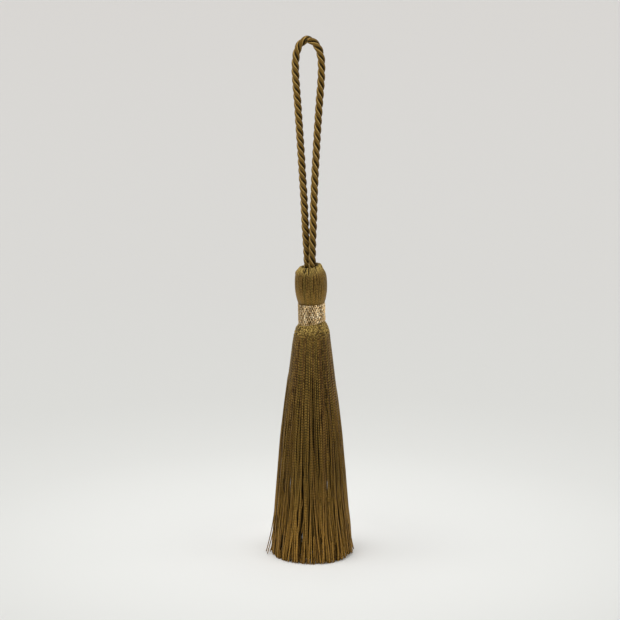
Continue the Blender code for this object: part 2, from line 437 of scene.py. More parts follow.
def camera():
    data = bpy.data.cameras.new("camera")
    data.lens = CAMERA_LENS_MM
    data.sensor_width = SENSOR_MM
    data.clip_end = CAMERA_REACH
    made = placed("camera", data)
    made.location = CAMERA_PLACE
    made.rotation_euler = (math.pi / 2 - CAMERA_PITCH, 0.0, 0.0)
    bpy.context.scene.camera = made


def unit(vectors):
    return vectors / np.linalg.norm(vectors, axis=-1, keepdims=True)


def smoothstep(low, high, values):
    share = np.clip((values - low) / (high - low), 0.0, 1.0)
    return share * share * (3 - 2 * share)


def lean(points):
    """Leans the head, and the skirt less and less towards its cut ends, as the solids do."""
    height = points[..., 2]
    left = np.clip(height / ROOT_HEIGHT, 0.0, 1.0)
    pivot = np.minimum(height, ROOT_HEIGHT) + LEAN_STARTS_ABOVE_ROOTS
    angle = LEAN * left**2
    above = height - pivot
    x = points[..., 0] * np.cos(angle) - above * np.sin(angle)
    x = x + NECK_SHIFT * smoothstep(*NECK_SHIFT_HEIGHTS, height)
    z = pivot + points[..., 0] * np.sin(angle) + above * np.cos(angle)
    return np.stack([x, points[..., 1], z], axis=-1)


def side_angles(sides):
    return TURN * np.arange(sides) / sides


def run_lengths(paths):
    """How long each path is up to each of its points."""
    steps = np.linalg.norm(np.diff(paths, axis=1), axis=-1)
    return np.concatenate([np.zeros((len(paths), 1)), np.cumsum(steps, axis=1)], axis=1)


def plain_turns(paths):
    return run_lengths(paths) / STITCH_LENGTH


def round_axis(reach, angle, height):
    """Points this far from the upright axis, in this direction from it and at this height."""
    return np.stack([reach * np.cos(angle), reach * np.sin(angle), height], axis=-1)


def round_way(angle):
    """The level direction that goes round the axis."""
    return np.stack([-np.sin(angle), np.cos(angle), np.zeros_like(angle)], axis=-1)


def on_floor(points):
    """The points, with those that would lie under the floor lifted onto it."""
    points[..., 2] = np.maximum(points[..., 2], 0.0)
    return points


def tube_points(paths, across, radii, sides):
    """The skin points of many tubes. paths is tubes by rings by 3, across is a direction square
    to each path, and radii is tubes by rings by sides, or by 1 for plain round tubes."""
    along = unit(np.gradient(paths, axis=1))
    second = unit(np.cross(along, across))
    first = np.cross(second, along)
    angle = side_angles(sides)[:, None]
    around = np.cos(angle) * first[:, :, None] + np.sin(angle) * second[:, :, None]
    return paths[:, :, None] + radii[..., None] * around


def tube_faces(tubes, rings, sides):
    """The walls and the flat ends of many tubes, by the numbers of their points."""
    start = np.arange(tubes)[:, None, None] * rings * sides
    ring = np.arange(rings - 1)[None, :, None] * sides
    side = np.arange(sides)[None, None, :]
    after = (side + 1) % sides
    corners = (side, after, sides + after, sides + side)
    walls = np.stack([start + ring + corner for corner in corners], axis=-1).reshape(-1, 4)
    ends = []
    for first in range(0, tubes * rings * sides, rings * sides):
        last = first + (rings - 1) * sides
        ends.append([first + i for i in range(sides)][::-1])
        ends.append([last + i for i in range(sides)])
    return walls.tolist() + ends


def add_lengthwise_uv(mesh, paths, sides):
    """UVs whose u goes once round each tube and whose v is the length along it in millimetres."""
    tubes, rings, _ = paths.shape
    length = run_lengths(paths)
    shape = (tubes, rings - 1, sides)
    u = np.broadcast_to(np.arange(sides) / sides, shape)
    low = np.broadcast_to(length[:, :-1, None], shape)
    high = np.broadcast_to(length[:, 1:, None], shape)
    places = [(u, low), (u + 1.0 / sides, low), (u + 1.0 / sides, high), (u, high)]
    walls = np.stack([np.stack(place, axis=-1) for place in places], axis=-2).reshape(-1, 2)
    ends = np.zeros((2 * tubes * sides, 2))
    layer = mesh.uv_layers.new(name=UV_NAME)
    layer.data.foreach_set("uv", np.concatenate([walls, ends]).astype(np.float32).ravel())


def add_values(mesh, values, shape):
    """Named numbers for each point of the mesh, which its material reads."""
    for key, value in values.items():
        attribute = mesh.attributes.new(key, "FLOAT", "POINT")
        spread = np.broadcast_to(value, shape)
        attribute.data.foreach_set("value", spread.astype(np.float32).ravel())


def tube_mesh(name, points, paths, tints, hues, opened, wound, **more):
    """One mesh of many tubes, with its lengthwise UVs and the numbers for its material, its painted
    light and shade among them.
    """
    tubes, rings, sides, _ = points.shape
    mesh = bpy.data.meshes.new(name)
    mesh.from_pydata(points.reshape(-1, 3) * MM, [], tube_faces(tubes, rings, sides))
    add_lengthwise_uv(mesh, paths, sides)
    values = {
        "tint": tints[:, None, None],
        "hue": hues[:, None, None],
        # Painted light and shade, for each point
        "open": opened,
        "wound": wound[..., None],
        **more,
    }
    add_values(mesh, values, (tubes, rings, sides))
    mesh.shade_smooth()
    return placed(name, mesh)


def stitched(radius, wound, amount):
    """Radii of a fine chain-stitched yarn: a small bulge in the shape of a chevron for each stitch."""
    chevron = STITCH_SLOPE * np.abs(np.cos(side_angles(YARN_SIDES)))
    phase = TURN * (wound[..., None] - chevron)
    return radius[..., None] * (1.0 + amount * np.cos(phase))


def profile_radius(height):
    """The skirt's outer radius with its corners rounded."""
    fine = np.linspace(SKIRT[0].height, 0.0, SKIRT_STEPS)
    heights = [section.height for section in SKIRT][::-1]
    radii = np.interp(fine, heights, [section.radius for section in SKIRT][::-1])
    for _ in range(SKIRT_ROUNDING):
        radii[1:-1] = (radii[:-2] + 2 * radii[1:-1] + radii[2:]) / 4
    return np.interp(height, fine[::-1], radii[::-1])


def skirt_surface(angle, height, share):
    """How far the skirt's surface reaches from its middle, round it and down it."""
    front = np.maximum(0.0, -np.sin(angle - FLARE_TURN)) ** FLARE_POWER
    left = np.maximum(0.0, -np.cos(angle))
    flare = FRONT_FLARE * front * smoothstep(*FLARE_HEIGHTS, height)
    drawn = LEFT_DRAWN_IN * left * smoothstep(*DRAWN_IN_HEIGHTS, height)
    shift = FOOT_SHIFT * np.cos(angle) * smoothstep(*FLARE_HEIGHTS, height)
    return (profile_radius(height) + flare - drawn + shift) * share


def cut_lift(angle):
    """The yarns of the right-hand side were cut a little shorter."""
    return RIGHT_SHORT * smoothstep(*RIGHT_SIDE, np.cos(angle))


def skirt_heights(layer):
    """The heights of a layer's rings, close together where its stitches show."""
    top = SKIRT[0].height
    if not layer.fine:
        return np.linspace(top, 0.0, round(top / PLAIN_STEP))
    dense = np.arange(top, FINE_DOWN_TO, -FINE_STEP)
    sparse = np.linspace(dense[-1] - FINE_STEP, 0.0, round(FINE_DOWN_TO / COARSE_STEP))
    return np.concatenate([dense, sparse])


def stitch_turns(base_angle, height, outer, chance):
    """How many stitches lie above each ring of each yarn. Their rows drift a little round the skirt."""
    count = len(base_angle)
    phase = STITCH_JITTER * chance.uniform(-1, 1, count)
    for waves in STITCH_DRIFT_WAVES:
        phase = phase + STITCH_DRIFT * np.sin(waves * base_angle + chance.uniform(0, TURN))
    fall = np.concatenate([[0], np.cumsum(np.hypot(np.diff(outer), np.diff(height)))])
    wavy = STITCH_STRETCH * np.sin(STITCH_STRETCH_WAVES * base_angle + 1.0)
    uneven = 1.0 + wavy + STITCH_UNEVEN * chance.normal(0, 1, count)
    return fall / STITCH_LENGTH * uneven[:, None] + phase[:, None]


def skirt_layer(layer, chance):
    """One layer of the skirt's yarns, gathered at the neck and parting in locks towards the ends."""
    height = skirt_heights(layer)
    count = layer.count
    each = (count, 1)
    way = (height[0] - height) / height[0]
    outer = profile_radius(height)
    pitch = TURN / count
    base_angle = pitch * (np.arange(count) + YARN_JITTER * chance.uniform(-1, 1, count))
    apart = PARTING * chance.uniform(-1, 1, each) * smoothstep(*PARTING_HEIGHTS, height)
    radius = np.minimum(YARN_RADIUS, YARN_CROWDING * pitch * outer * layer.share)
    radius = radius * chance.uniform(*YARN_VARIES, each)
    radius = radius * (1.0 - THINNING * smoothstep(*THINNING_HEIGHTS, height))

    loose = way**LOOSENING
    drift = chance.normal(0, DRIFT, each) * loose * layer.wander
    wave = chance.uniform(*WAVES_DOWN, each) * TURN * way + chance.uniform(0, TURN, each)
    drift = drift + WAVE_ASIDE * np.sin(wave) * way**WAVE_GROWTH * layer.wander
    gather = np.zeros(each)
    for clusters in CLUSTERS:
        pull = np.sin(clusters * base_angle + chance.uniform(0, TURN))[:, None]
        gather = gather + pull * CLUSTER_PULL / clusters
    crimp_length = chance.uniform(*CRIMP_LENGTHS, each)
    crimp_wave = np.sin(TURN * height / crimp_length + chance.uniform(0, TURN, each))
    crimp = smoothstep(*CRIMP_STARTS, height) * smoothstep(*CRIMP_ENDS, height)
    sway = apart + drift + gather * way**CLUSTER_GROWTH + CRIMP_ASIDE * crimp * crimp_wave
    angle = base_angle[:, None] + pitch * sway
    depth = chance.uniform(*YARN_DEPTHS, each) * loose * layer.wander
    depth = depth + WAVE_DEPTH * np.sin(WAVE_DEPTH_RATE * wave + 1.0) * way
    depth = depth - CRIMP_DEPTH * crimp * np.roll(crimp_wave, 1, axis=0)
    reach = skirt_surface(angle, height, layer.share) - radius - depth
    tip = chance.random(each) ** CUT_POWER * CUT_UNEVEN
    tip = tip + min((1 - layer.share) * INNER_SHORT_SLOPE, INNER_SHORT_MOST)
    tip = tip + cut_lift(base_angle)[:, None]
    tall = height * (1 - tip / height[0]) + tip
    right = np.maximum(0.0, np.cos(angle))
    tall = tall + SHOULDER_RISE * right * smoothstep(*SHOULDER_RISE_HEIGHTS, height)
    paths = lean(round_axis(np.maximum(reach, INNERMOST), angle, tall))
    radii = radius[..., None]
    wound = plain_turns(paths)
    if layer.fine:
        wound = stitch_turns(base_angle, height, outer, chance)
        firm = 0.5 + 0.5 * smoothstep(*STITCH_HEIGHTS, height)
        radii = stitched(radius, wound, (STITCH_RELIEF * firm)[None, :, None])
    points = on_floor(tube_points(paths, round_way(angle), radii, YARN_SIDES))

    # Painted shade: each yarn's sides, the yarns that lie deeper and the inner layers are painted
    # darker
    facing = 0.5 + 0.5 * np.sin(side_angles(YARN_SIDES))
    sunk = np.clip(1.0 - SUNK_PAINTED_SHADE * np.maximum(depth, 0.0), SUNK_PAINTED_SHADE_MOST, 1.0)
    opened = np.clip(FACING_GAIN * facing - FACING_CUT, 0.0, 1.0) * sunk[..., None] * layer.open
    tints = np.clip(layer.tint + chance.normal(0, YARN_TINTS, count), 0, 1)
    hues = chance.random(count)
    made = []
    parts = FINE_LAYER_PARTS if layer.fine else 1
    for part in range(parts):
        pick = slice(part * count // parts, (part + 1) * count // parts)
        name = layer.name if parts == 1 else f"{layer.name}_{part + 1}"
        values = [each_yarn[pick] for each_yarn in (tints, hues, opened, wound)]
        made.append(tube_mesh(name, points[pick], paths[pick], *values))
    return made


def plain_strands(name, paths, leant, angle, radii, sides, tints, opened, chance):
    """Strands that lie near the skirt's surface, each of them of one thickness. leant is where
    they run once the tassel leans, and their lengths are those of the upright paths."""
    radii = np.broadcast_to(radii, paths.shape[:2])[..., None]
    points = on_floor(tube_points(leant, round_way(angle), radii, sides))
    hues = chance.random(len(paths))
    # One level of painted light and shade for all of these strands
    return tube_mesh(name, points, paths, tints, hues, np.array(opened), plain_turns(paths))


def loose_yarns(chance):
    """Single yarns that wander across the others on the outside of the skirt's lower half."""
    each = (LOOSE_YARNS, 1)
    way = np.linspace(0, 1, LOOSE_RINGS)
    height = chance.uniform(*LOOSE_TOPS, each) * (1 - way)
    angle = chance.uniform(0, TURN, each) + chance.uniform(*LOOSE_TURNS, each) * way**1.3
    lift = smoothstep(0.0, 0.25, way) * chance.uniform(*LOOSE_LIFTS, each)
    lift = lift - LOOSE_ROOT_DEPTH * (1 - smoothstep(0.0, 0.2, way))
    reach = skirt_surface(angle, height, 1.0) + lift - LOOSE_THICKNESS
    paths = round_axis(reach, angle, height + LOOSE_THICKNESS)
    radii = chance.uniform(*LOOSE_RADII, each)
    tints = np.clip(chance.normal(0.7, 0.15, LOOSE_YARNS), 0, 1)
    looks = (radii, YARN_SIDES, tints, 0.95)
    return plain_strands("skirt_yarn_loose", paths, lean(paths), angle, *looks, chance)


def filaments(chance):
    """Thin single filaments that stand a little proud of the skirt's yarns and cross them."""
    each = (FILAMENTS, 1)
    way = np.linspace(0, 1, FILAMENT_RINGS)
    top = chance.uniform(*FILAMENT_TOPS, each)
    run = chance.uniform(*FILAMENT_RUNS, each)
    height = top * (1 - run * way)
    angle = chance.uniform(0, TURN, each) + chance.normal(0, FILAMENT_DRIFT, each) * way
    wave = TURN * way * chance.uniform(*FILAMENT_WAVES, each) + angle * 7.0
    angle = angle + FILAMENT_SWAY * np.sin(wave)
    proud = chance.uniform(*FILAMENT_LIFTS, each) - FILAMENT_ROOT_DEPTH * smoothstep(0.12, 0.0, way)
    proud = proud - FILAMENT_END_DEPTH * smoothstep(0.9, 1.0, way) * (run < FILAMENT_ENDS_FREE)
    reach = skirt_surface(angle, height, 1.0) + proud
    paths = round_axis(reach, angle, height + FILAMENT_ABOVE_FLOOR)
    radii = chance.uniform(*FILAMENT_RADII, each)
    tints = np.clip(chance.normal(0.9, 0.2, FILAMENTS), 0, 1)
    looks = (radii, FINE_SIDES, tints, 1.0)
    return plain_strands("skirt_filaments", paths, lean(paths), angle, *looks, chance)


def stray_yarns(chance):
    """The few yarns that stand away from the skirt's lower edge."""
    count = len(STRAY_YARNS)
    way = np.linspace(0, 1, STRAY_RINGS)[None, :, None]
    start = np.array([yarn.start for yarn in STRAY_YARNS])[:, None]
    end = np.array([yarn.end for yarn in STRAY_YARNS])[:, None]
    bow = np.sin(math.pi * way) * np.array(STRAY_BOW)
    paths = start + (end - start) * way + bow * np.sign(-start[..., :1])
    across = np.tile(np.array([0.0, 1.0, 0.0]), (count, STRAY_RINGS, 1))
    radii = np.full((count, STRAY_RINGS, 1), STRAY_RADIUS)
    points = on_floor(tube_points(paths, across, radii, YARN_SIDES))
    tints = np.full(count, 0.5)
    hues = chance.random(count)
    # The strays are painted a little darker, as shade
    return tube_mesh("stray_yarns", points, paths, tints, hues, np.array(0.8), plain_turns(paths))


def frayed_ends(chance):
    """The cut ends of the outer yarns, where each opens into a few thin filaments. They are too
    near the floor to lean."""
    each = (FRAYED_ENDS, 1)
    way = np.linspace(0, 1, FRAYED_RINGS)
    angle = chance.uniform(0, TURN, each) + FRAYED_DRIFT * chance.normal(0, 1, each) * way
    height = chance.uniform(*FRAYED_LENGTHS, each) * (1 - way)
    height = height + chance.random(each) ** 2 * FRAYED_UNEVEN + cut_lift(angle)
    reach = skirt_surface(angle, height, 1.0) - chance.uniform(*FRAYED_DEPTHS, each)
    reach = reach + FRAYED_SPREAD * way
    paths = round_axis(reach, angle, height)
    radii = chance.uniform(*FRAYED_RADII, each)
    tints = np.clip(chance.normal(0.7, 0.32, FRAYED_ENDS), 0, 1)
    looks = (radii, FINE_SIDES, tints, 0.8)
    return plain_strands("frayed_ends", paths, paths, angle, *looks, chance)


def profile_line(profile, count):
    """The profile as a smooth line of evenly spaced points: radius and height."""
    line = np.array([(section.radius, section.height) for section in profile])
    for _ in range(CORNER_CUTS):
        cut = np.empty((2 * len(line) - 2, 2))
        cut[0::2] = 0.75 * line[:-1] + 0.25 * line[1:]
        cut[1::2] = 0.25 * line[:-1] + 0.75 * line[1:]
        line = np.concatenate([line[:1], cut, line[-1:]])
    length = run_lengths(line[None])[0]
    even = np.linspace(0, length[-1], count)
    return np.interp(even, length, line[:, 0]), np.interp(even, length, line[:, 1])


def shape_crest(reach, angle, tall):
    """The head's top as the photograph has it: sloped, and fuller on its left."""
    cap = smoothstep(*CREST_HEIGHTS, tall)
    left = smoothstep(0.3, -0.7, np.cos(angle))
    right = smoothstep(0.2, 0.9, np.cos(angle))
    behind = np.maximum(reach * np.sin(angle) + 1.0, 0.0)
    bulge = np.exp(-(((tall - BULGE_HEIGHT) / BULGE_SPREAD) ** 2))
    reach = reach + bulge * (LEFT_BULGE * left - RIGHT_DRAWN_IN * right)
    tall = tall + CREST_SLOPE * cap * (reach * np.cos(angle) - CREST_HIGH_SIDE)
    tall = tall - CREST_BACK_DROP * cap * left * behind
    tall = tall - CREST_FRONT_DROP * cap * np.maximum(-reach * np.sin(angle) - 1.0, 0.0)
    return reach, tall


def head_yarns(chance):
    """Yarns that come out of the dimple, bend over the crest and run down to the tie."""
    each = (HEAD_YARNS, 1)
    radius, height = profile_line(HEAD, HEAD_RINGS)
    pitch = TURN / HEAD_YARNS
    thick = HEAD_CROWDING * pitch * radius
    way = np.linspace(0, 1, HEAD_RINGS)
    start = pitch * (np.arange(HEAD_YARNS) + HEAD_JITTER * chance.uniform(-1, 1, HEAD_YARNS))
    phase = chance.uniform(0, TURN, each)
    crest = smoothstep(CREST_PART, 0.05, way)
    sway = HEAD_WANDER * pitch * np.sin(TURN * way * HEAD_WAVES + phase)
    tossed = pitch * crest * chance.normal(0, CREST_TOSS, each)
    sway = sway + tossed * np.sin(math.pi * way / CREST_PART)
    angle = start[:, None] + sway
    lift = HEAD_LIFT * chance.normal(0, 1, each) + CREST_LIFT * crest * chance.normal(0, 1, each)
    reach = np.broadcast_to(radius, angle.shape) - HEAD_SUNK * thick + lift
    tall = height + CREST_RISE * lift * crest
    reach, tall = shape_crest(reach, angle, tall)
    paths = lean(round_axis(reach, angle, tall))
    hues = chance.random(HEAD_YARNS)
    wound = plain_turns(paths) + 5.0 * hues[:, None]
    radii = stitched(np.broadcast_to(thick, angle.shape), wound, HEAD_STITCH_RELIEF)
    points = tube_points(paths, round_way(angle), radii, YARN_SIDES)
    # Painted shade: each yarn's sides, deepest on the crest, the dimple and the foot tucked under the
    # band are painted darker, and raised yarns lighter
    groove = 0.08 + 0.24 * smoothstep(0.45, 0.9, way) + 0.45 * crest
    opened = 0.8 + groove[:, None] * (np.sin(side_angles(YARN_SIDES)) - 0.6) + 1.2 * lift[..., None]
    dimple = 0.05 + 0.95 * smoothstep(0.05, 0.17, way)
    shade_under_band = 0.35 + 0.65 * smoothstep(1.0, 0.95, way)
    opened = np.clip(opened, 0, 1) * dimple[None, :, None] * shade_under_band[None, :, None]
    # Each yarn's own tone, with a painted sheen added on the head's left and right sides
    tints = HEAD_TINT + chance.normal(0, HEAD_TINTS, HEAD_YARNS) + np.cos(start) ** 4
    return tube_mesh("head_yarns", points, paths, np.clip(tints, 0, 1), hues, opened, wound)


def lathe(core):
    """A plain turned core under the yarns, closed at both ends."""
    points = []
    for section in core.profile:
        reach = section.radius - core.inset
        for angle in side_angles(CORE_SIDES):
            points.append((reach * math.cos(angle), reach * math.sin(angle), section.height))
    faces = []
    for row in range(len(core.profile) - 1):
        upper = row * CORE_SIDES
        lower = upper + CORE_SIDES
        for i in range(CORE_SIDES):
            after = (i + 1) % CORE_SIDES
            faces.append((upper + i, lower + i, lower + after, upper + after))
    faces.append(list(range(CORE_SIDES)))
    last = (len(core.profile) - 1) * CORE_SIDES
    faces.append([last + i for i in range(CORE_SIDES)][::-1])
    mesh = bpy.data.meshes.new(core.name)
    mesh.from_pydata(lean(np.array(points)) * MM, [], faces)
    # The core's tone, and its painted shade
    add_values(mesh, {"tint": 0.3, "hue": 0.5, "open": core.opened}, len(points))
    mesh.uv_layers.new(name=UV_NAME)
    mesh.shade_smooth()
    return placed(core.name, mesh)


def band_threads(chance):
    """Flat metallic threads that wind both ways round the neck, one over and one under."""
    way = np.linspace(0, 1, THREAD_RINGS)
    lattice = TURN / BAND_THREADS
    crossing = BAND_TURN * 2 * (way - 0.5) / lattice
    angles = []
    weaves = []
    for lay in (1, -1):
        for thread in range(BAND_THREADS):
            start = lattice * (thread + THREAD_JITTER * chance.normal())
            angles.append(start + lay * BAND_TURN * (way - 0.5))
            weave = np.cos(math.pi * (crossing + thread)) * lay
            weaves.append(np.tanh(WEAVE_SHARPNESS * weave))
    angle = np.array(angles)
    weave = np.array(weaves)
    count = len(angle)
    low = BAND_LOW + BAND_LOW_SLANT * np.cos(angle)
    high = BAND_HIGH + BAND_HIGH_SLANT * np.cos(angle)
    height = high + (low - high) * way
    reach = BAND_RADIUS + BAND_WEAVE_DEPTH * weave + THREAD_LIFT * chance.normal(0, 1, (count, 1))
    paths = lean(round_axis(reach, angle, height))
    outward = round_axis(np.ones_like(angle), angle, np.zeros_like(angle))
    corner = side_angles(THREAD_SIDES) + THREAD_TILT * chance.normal(0, 1, (count, 1, 1))
    flat = 1.0 / np.sqrt((np.cos(corner) * THREAD_WIDTH / THREAD_THICKNESS) ** 2 + np.sin(corner) ** 2)
    radii = THREAD_WIDTH / 2 * np.broadcast_to(flat, (count, THREAD_RINGS, THREAD_SIDES))
    points = tube_points(paths, outward, radii, THREAD_SIDES)
    # Painted light: columns of painted highlight and shade, threads painted darker where they pass
    # under others, and the band darker on its left
    painted_streaks = np.zeros_like(angle)
    for streak in BAND_PAINTED_STREAKS:
        beside = (np.cos(angle) - streak.across) / PAINTED_STREAK_WIDTH
        painted_streaks = painted_streaks + streak.strength * np.exp(-(beside**2))
    opened = (0.8 + 0.2 * weave) * (0.95 + 0.06 * np.cos(angle) + 0.1 * painted_streaks)
    opened = np.clip(opened, 0.1, 1.0)[..., None]
    tints = chance.random(count)
    hues = chance.random(count)
    wound = plain_turns(paths)
    painted_streaks = painted_streaks[..., None]
    return tube_mesh("band_threads", points, paths, tints, hues, opened, wound, streak=painted_streaks)


def smooth_route(route):
    """Points along a curve through the route's own points, and the length up to each of them."""
    points = np.array(route)
    before = points[0] * 2 - points[1]
    after = points[-1] * 2 - points[-2]
    padded = np.concatenate([[before], points, [after]])
    t = (np.arange(CURVE_STEPS) / CURVE_STEPS)[:, None]
    curve = []
    for a, b, c, d in zip(padded, padded[1:], padded[2:], padded[3:]):
        slope_b = (c - a) / 2
        slope_c = (d - b) / 2
        curve.extend(
            b * (2 * t**3 - 3 * t**2 + 1)
            + slope_b * (t**3 - 2 * t**2 + t)
            + c * (3 * t**2 - 2 * t**3)
            + slope_c * (t**3 - t**2)
        )
    curve.append(points[-1])
    curve = np.array(curve)
    return curve, run_lengths(curve[None])[0]


def steady_sides(along):
    """A direction square to the path at each point, which turns as little as it can."""
    side = np.empty_like(along)
    last = np.array([0.0, 1.0, 0.0])
    for i, forward in enumerate(along):
        last = last - forward * np.dot(last, forward)
        last = last / np.linalg.norm(last)
        side[i] = last
    return side


def cord_loop():
    """Three plies twisted together round the loop's centreline, each made of a few turned yarns."""
    curve, lengths = smooth_route(LOOP_ROUTE)
    place = np.linspace(0, lengths[-1], CORD_RINGS)
    path = np.stack([np.interp(place, lengths, curve[:, i]) for i in range(3)], axis=-1)
    along = unit(np.gradient(path, axis=0))
    side = steady_sides(along)
    other = np.cross(along, side)
    ends = np.cumsum([0.0] + [twist.length for twist in CORD_TWIST])
    turns = np.cumsum([0.0] + [twist.length / twist.pitch for twist in CORD_TWIST])
    wound = TURN * np.interp(place, ends, turns) + TWIST_START
    paths = []
    across = []
    for ply in range(CORD_PLIES):
        slow = PLY_SWAY * np.sin(TURN * place / PLY_SWAY_LENGTH + 2.0 * ply)
        angle = (TURN * (ply + 0.5) / CORD_PLIES - wound + slow)[:, None]
        out = np.cos(angle) * side + np.sin(angle) * other
        paths.append(path + PLY_FROM_MIDDLE * out)
        across.append(out)
    paths = np.array(paths)
    across = np.array(across)
    around = side_angles(PLY_SIDES)
    phase = PLY_YARNS * (around + wound[:, None]) / 2
    relief = 1.0 - PLY_RELIEF + PLY_RELIEF * np.abs(np.cos(phase))
    radii = PLY_RADIUS * np.broadcast_to(relief, (CORD_PLIES, CORD_RINGS, PLY_SIDES))
    points = tube_points(paths, across, radii, PLY_SIDES)
    # Painted shade deep in the grooves between the plies, stronger in a band along each leg
    offset = points - path[None, :, None]
    upward = smoothstep(-0.35, 0.35, along[:, 2])
    rightward = np.cross(np.array([0.0, 1.0, 0.0]), along) * (2 * upward - 1)[:, None]
    beside = (offset * rightward[None, :, None]).sum(axis=-1) / GROOVE_SHADE_REACH
    lens = smoothstep(-0.85, -0.2, beside) * smoothstep(1.05, 0.5, beside)
    inside = 1.0 - smoothstep(*GROOVE_SHADE_DEPTHS, np.linalg.norm(offset, axis=-1))
    opened = 1.0 - inside * (0.45 + 0.55 * lens)
    tints = np.array(PLY_TINTS)
    turned = wound[None] / TURN
    upward = upward[None, :, None]
    made = tube_mesh(
        "cord_loop", points, paths, tints, tints, opened, turned, upward=upward, lens=lens
    )
    return made


class Nodes:
    """A small helper that adds and links shader nodes."""

    def __init__(self, name):
        self.material = bpy.data.materials.new(name)
        self.material.use_nodes = True
        self.tree = self.material.node_tree
        self.shader = self.tree.nodes["Principled BSDF"]

    def put(self, socket, value):
        if isinstance(value, bpy.types.NodeSocket):
            self.tree.links.new(value, socket)
        elif isinstance(value, tuple) and len(value) == 3 and socket.type == "RGBA":
            socket.default_value = (*value, 1.0)
        else:
            socket.default_value = value

    def add(self, kind, **inputs):
        node = self.tree.nodes.new(kind)
        for key, value in inputs.items():
            self.put(node.inputs[key.replace("_", " ")], value)
        return node

    def math(self, operation, first, second=0.0):
        node = self.add("ShaderNodeMath")
        node.operation = operation
        for socket, value in zip(node.inputs, (first, second)):
            self.put(socket, value)
        return node.outputs[0]

    def plus(self, first, second):
        return self.math("ADD", first, second)

    def minus(self, first, second):
        return self.math("SUBTRACT", first, second)

    def times(self, first, second):
        return self.math("MULTIPLY", first, second)

    def swing(self, value, amount):
        """How far the value is from a half, times the amount."""
        return self.times(self.minus(value, 0.5), amount)

    def without(self, value, amount=1.0):
        """One less the amount of the value."""
        return self.minus(1.0, self.times(value, amount))

    def clamp(self, value):
        return self.math("MINIMUM", self.math("MAXIMUM", value, 0.0), 1.0)

    def ease(self, value, low, high, to_low=0.0, to_high=1.0):
        node = self.add("ShaderNodeMapRange", Value=value)
        node.interpolation_type = "SMOOTHSTEP"
        ends = (("From Min", low), ("From Max", high), ("To Min", to_low), ("To Max", to_high))
        for key, end in ends:
            node.inputs[key].default_value = end
        return node.outputs[0]

    def mix(self, amount, first, second, blend="MIX"):
        node = self.add("ShaderNodeMix")
        node.data_type = "RGBA"
        node.blend_type = blend
        self.put(node.inputs["Factor"], amount)
        self.put(node.inputs[6], first)
        self.put(node.inputs[7], second)
        return node.outputs[2]

    def attribute(self, name):
        node = self.add("ShaderNodeAttribute")
        node.attribute_name = name
        return node.outputs["Fac"]

    def point(self, x, y, z=0.0):
        return self.add("ShaderNodeCombineXYZ", X=x, Y=y, Z=z).outputs[0]

    def noise(self, place, detail, scale=1.0):
        return self.add("ShaderNodeTexNoise", Vector=place, Scale=scale, Detail=detail).outputs[0]

    def around_and_along(self):
        uv = self.add("ShaderNodeUVMap")
        uv.uv_map = UV_NAME
        parts = self.add("ShaderNodeSeparateXYZ", Vector=uv.outputs[0])
        return parts.outputs[0], parts.outputs[1]

    def place_mm(self):
        place = self.add("ShaderNodeTexCoord")
        scaled = self.add("ShaderNodeVectorMath", Vector=place.outputs["Object"])
        scaled.operation = "SCALE"
        scaled.inputs["Scale"].default_value = 1 / MM
        return scaled.outputs[0]

    def height_mm(self):
        return self.add("ShaderNodeSeparateXYZ", Vector=self.place_mm()).outputs[2]

    def paint(self, colour, brightness):
        """The surface's colour, darkened by painted shade where the brightness is under one."""
        grey = self.add("ShaderNodeCombineColor", Red=brightness, Green=brightness, Blue=brightness)
        shaded = self.mix(1.0, colour, grey.outputs[0], "MULTIPLY")
        self.put(self.shader.inputs["Base Color"], shaded)

    def bump(self, raised, depth):
        bump = self.add("ShaderNodeBump", Height=raised, Distance=depth * MM, Strength=BUMP_STRENGTH)
        self.put(self.shader.inputs["Normal"], bump.outputs[0])

    def gloss(self, uneven, rough, level):
        """A soft warm gloss, a little uneven from filament to filament."""
        self.put(self.shader.inputs["Roughness"], self.plus(self.times(uneven, 0.25), rough))
        self.shader.inputs["Specular IOR Level"].default_value = level
        self.shader.inputs["Specular Tint"].default_value = (*SILK_GLINT, 1.0)


